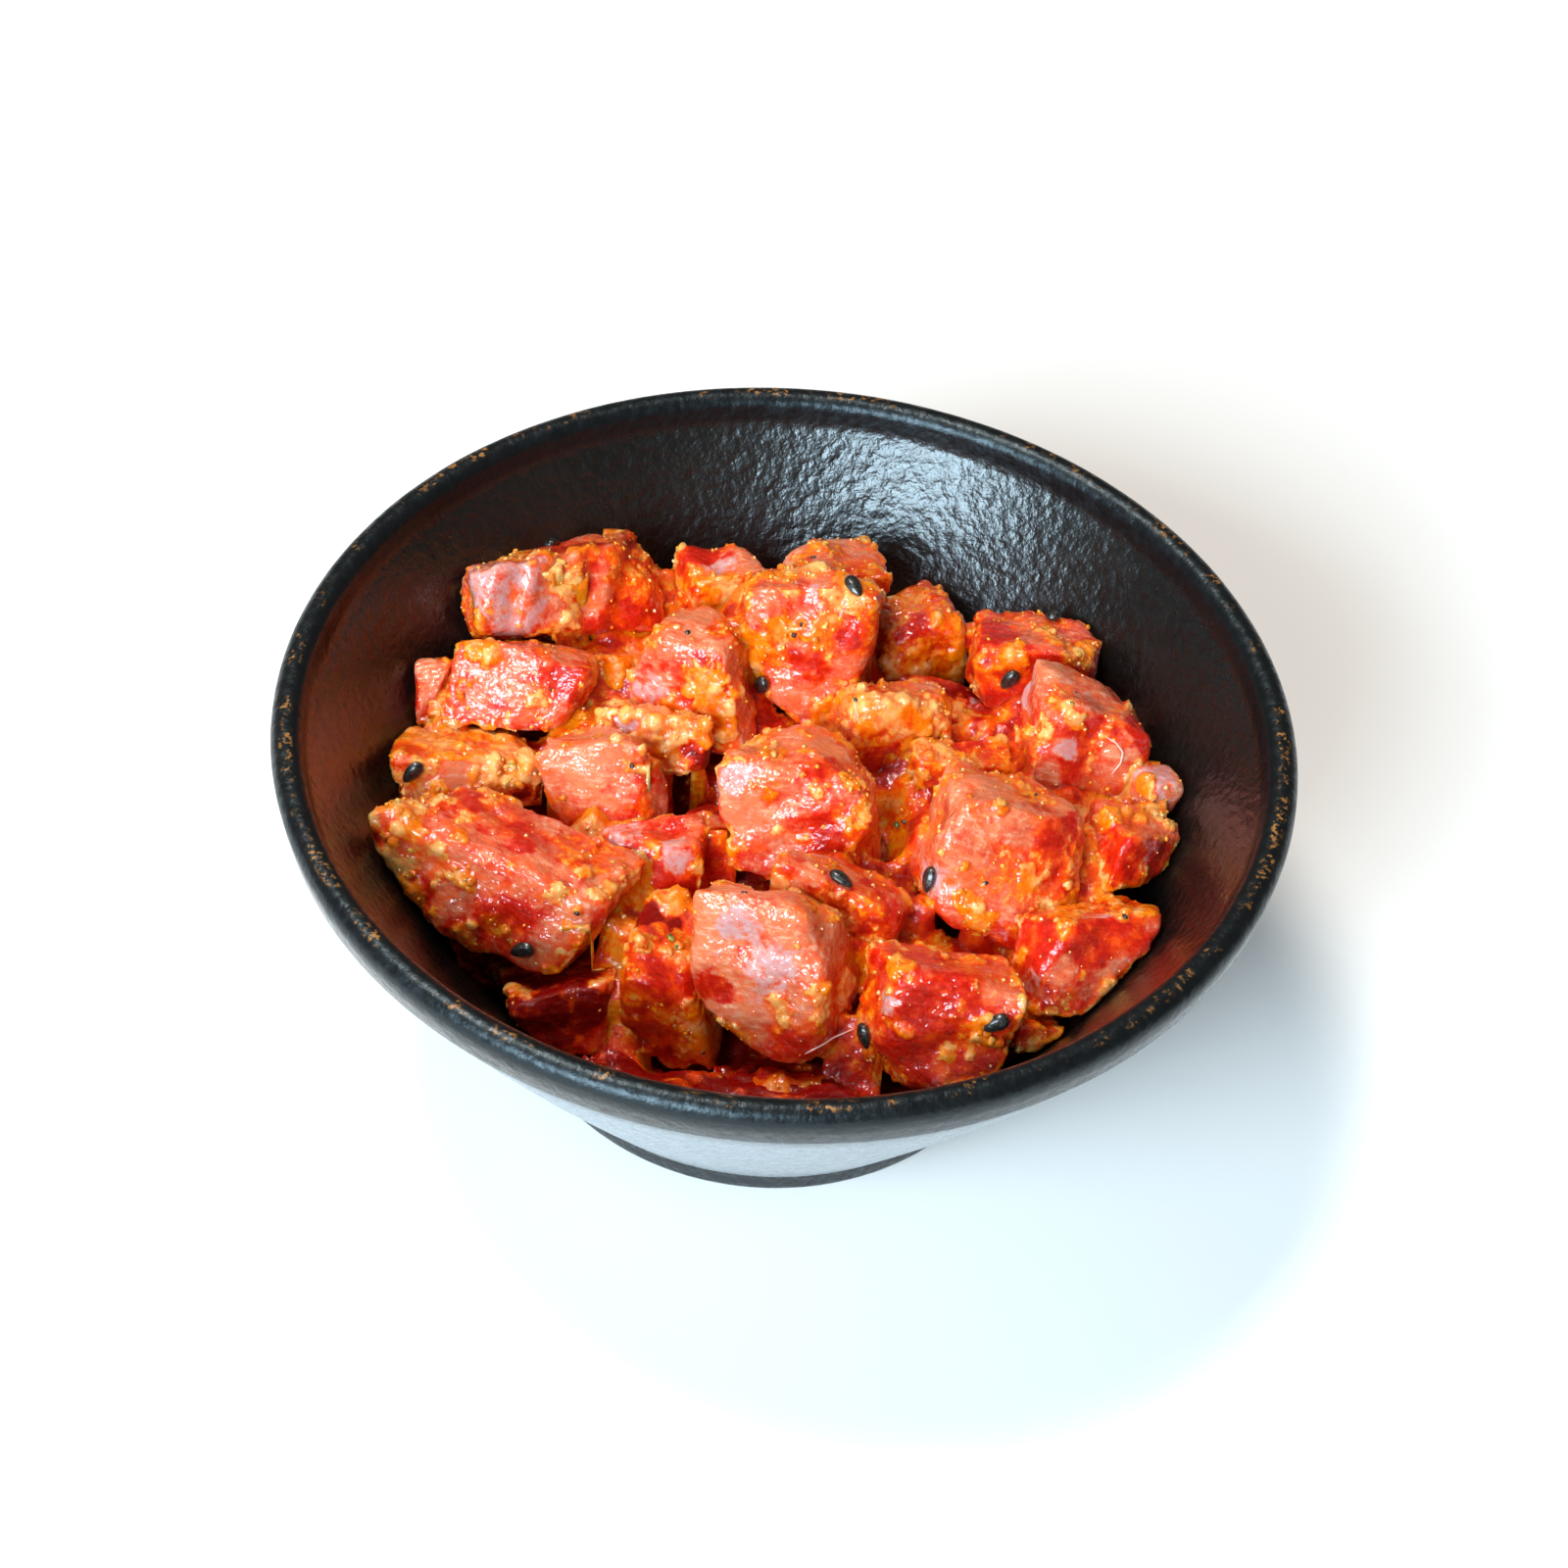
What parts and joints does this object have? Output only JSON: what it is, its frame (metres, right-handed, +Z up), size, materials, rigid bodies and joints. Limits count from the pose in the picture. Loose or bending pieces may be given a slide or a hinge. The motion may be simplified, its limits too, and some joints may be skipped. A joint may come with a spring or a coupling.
{
  "type": "bowl of raw tuna poke",
  "caption": "Small flared dark glazed stoneware bowl on a foot ring, filled with wet diced raw tuna in orange sauce with black sesame seeds.",
  "frame": {"origin": "on the bowl's axis, in the plane that the foot ring stands on", "axes": "+Z up along the bowl's axis, -Y towards the front, from where the picture was taken, +X to the right"},
  "size_m": [0.12, 0.12, 0.05],
  "materials": {
    "glaze": "glossy black-brown stoneware glaze with an orange-peel surface, worn to copper in specks along the lip",
    "tuna": "wet translucent raw tuna, pink to deep red, with pale fibres and films",
    "tuna_in_sauce": "wet raw tuna under a thick lumpy orange sauce with fine grains",
    "tuna_bed": "dark wet tuna and sauce, deep in the bowl",
    "sesame": "black sesame seed, wet"
  },
  "bodies": {
    "root": {"bowl": "glaze", "tuna_bed": "tuna_bed", "tuna_back_left": "tuna", "tuna_back_middle": "tuna", "tuna_behind_top": "tuna_in_sauce", "tuna_top": "tuna_in_sauce", "tuna_leaning": "tuna", "tuna_back_tan": "tuna_in_sauce", "tuna_left_upper": "tuna", "tuna_left_far": "tuna", "tuna_left_pale": "tuna_in_sauce", "tuna_left_long": "tuna", "tuna_front_left": "tuna", "tuna_middle_left": "tuna", "tuna_left_under": "tuna", "tuna_middle_sauced": "tuna_in_sauce", "tuna_middle_nub": "tuna", "tuna_small_glossy": "tuna", "tuna_middle": "tuna", "tuna_middle_low": "tuna", "tuna_front_middle": "tuna", "tuna_right_pale": "tuna_in_sauce", "tuna_right_large": "tuna", "tuna_back_right": "tuna_in_sauce", "tuna_back_far_right": "tuna", "tuna_right_dark": "tuna", "tuna_right_upper": "tuna", "tuna_right_sauced": "tuna_in_sauce", "tuna_right_bit": "tuna", "tuna_right_small": "tuna", "tuna_front_right": "tuna", "tuna_front_red": "tuna", "tuna_front_bit": "tuna_in_sauce", "tuna_front_minced": "tuna_in_sauce"}
  },
  "joints": []
}
